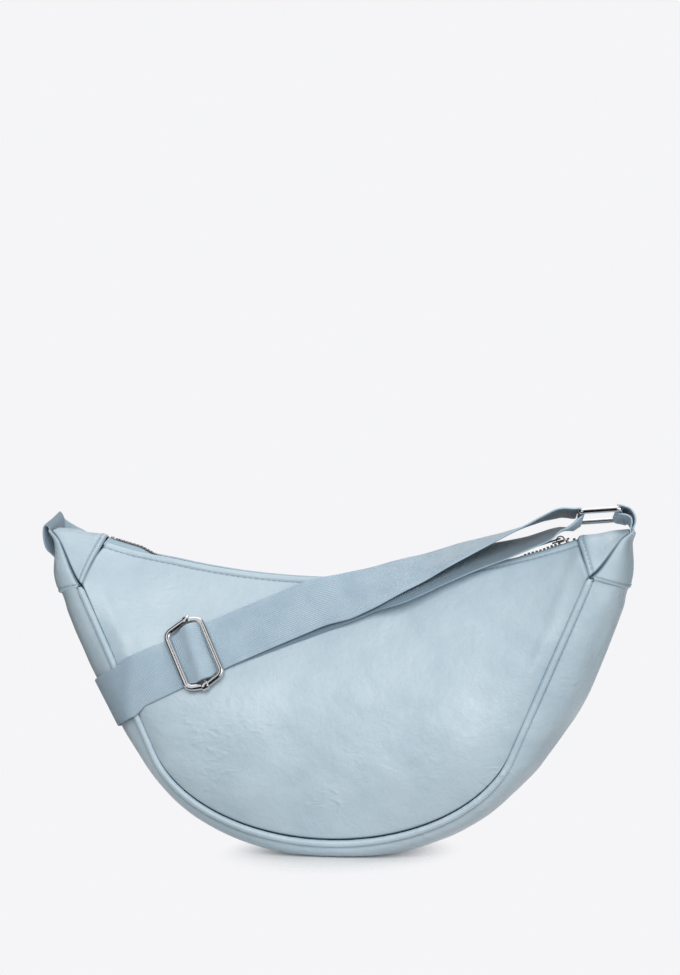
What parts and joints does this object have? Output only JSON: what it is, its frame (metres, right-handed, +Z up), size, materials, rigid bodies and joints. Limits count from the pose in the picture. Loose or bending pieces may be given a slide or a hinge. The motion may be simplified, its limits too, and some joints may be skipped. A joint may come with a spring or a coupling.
{
  "type": "crossbody shoulder bag",
  "caption": "Crescent crossbody bag in soft faux leather with a curved top zip, piped seams, corner patches, and a wide webbing strap with a wire adjuster and ring",
  "frame": {"origin": "on the floor under the middle of the bag, where its flat bottom rests", "axes": "+X along the bag to the side with the ring, -Y towards the front, +Z up"},
  "size_m": [0.4094, 0.1025, 0.2357],
  "materials": {
    "faux_leather": "satin",
    "piping": "satin",
    "lining": "matt",
    "zip_tape": "matt",
    "zip_metal": "polished",
    "slider_metal": "polished",
    "wire": "polished",
    "webbing": "ribbed weave"
  },
  "bodies": {
    "bag": {"front_panel": "faux_leather", "back_panel": "faux_leather", "gusset": "faux_leather", "left_corner": "faux_leather", "right_corner": "faux_leather", "left_end": "faux_leather", "right_end": "faux_leather", "front_piping": "piping", "back_piping": "piping", "front_lining": "lining", "back_lining": "lining", "gusset_lining": "lining", "zip_tape_front": "zip_tape", "zip_tape_back": "zip_tape", "zip_teeth_front": "zip_metal", "zip_teeth_back": "zip_metal", "zip_bottom_stop": "zip_metal", "zip_front_stop": "zip_metal", "zip_back_stop": "zip_metal", "right_tab": "webbing", "strap_front_low": "webbing", "strap_front_high": "webbing", "strap_return_low": "webbing", "strap_return_high": "webbing", "strap_left_run": "webbing", "strap_side_wrap": "webbing", "strap_back_run": "webbing"},
    "slider": {"zip_slider": "slider_metal"},
    "puller": {"zip_puller": "slider_metal"},
    "ring": {"strap_ring": "wire", "strap_ring_loop": "webbing"},
    "adjuster": {"adjuster_frame": "wire", "adjuster_bar": "wire", "strap_hump": "webbing", "strap_end_loop": "webbing"}
  },
  "joints": [
    {"name": "zip_travel", "type": "hinge", "parent": "bag", "child": "slider", "pos_m": [0, 0, 0.70551], "axis": [0, 1, 0], "range_deg": [0, 33.3], "deforming": ["zip_teeth_front", "zip_teeth_back", "strap_front_low", "strap_front_high", "strap_return_low", "strap_return_high"]},
    {"name": "puller_swing", "type": "hinge", "parent": "slider", "child": "puller", "pos_m": [0.14866, 0, 0.21101], "axis": [0, 1, 0], "range_deg": [0, 110], "deforming": ["strap_front_high", "strap_return_high"]},
    {"name": "ring_swing", "type": "hinge", "parent": "bag", "child": "ring", "pos_m": [0.1869, 0.00055, 0.22812], "axis": [0, 0.9703, -0.2419], "range_deg": [-15, 60], "deforming": ["strap_front_high", "strap_return_high"]},
    {"name": "adjuster_slide", "type": "slide", "parent": "bag", "child": "adjuster", "axis": [0.898, 0.1581, 0.4106], "range_m": [0, 0.055], "deforming": ["strap_left_run", "strap_front_low", "strap_return_low"]}
  ]
}
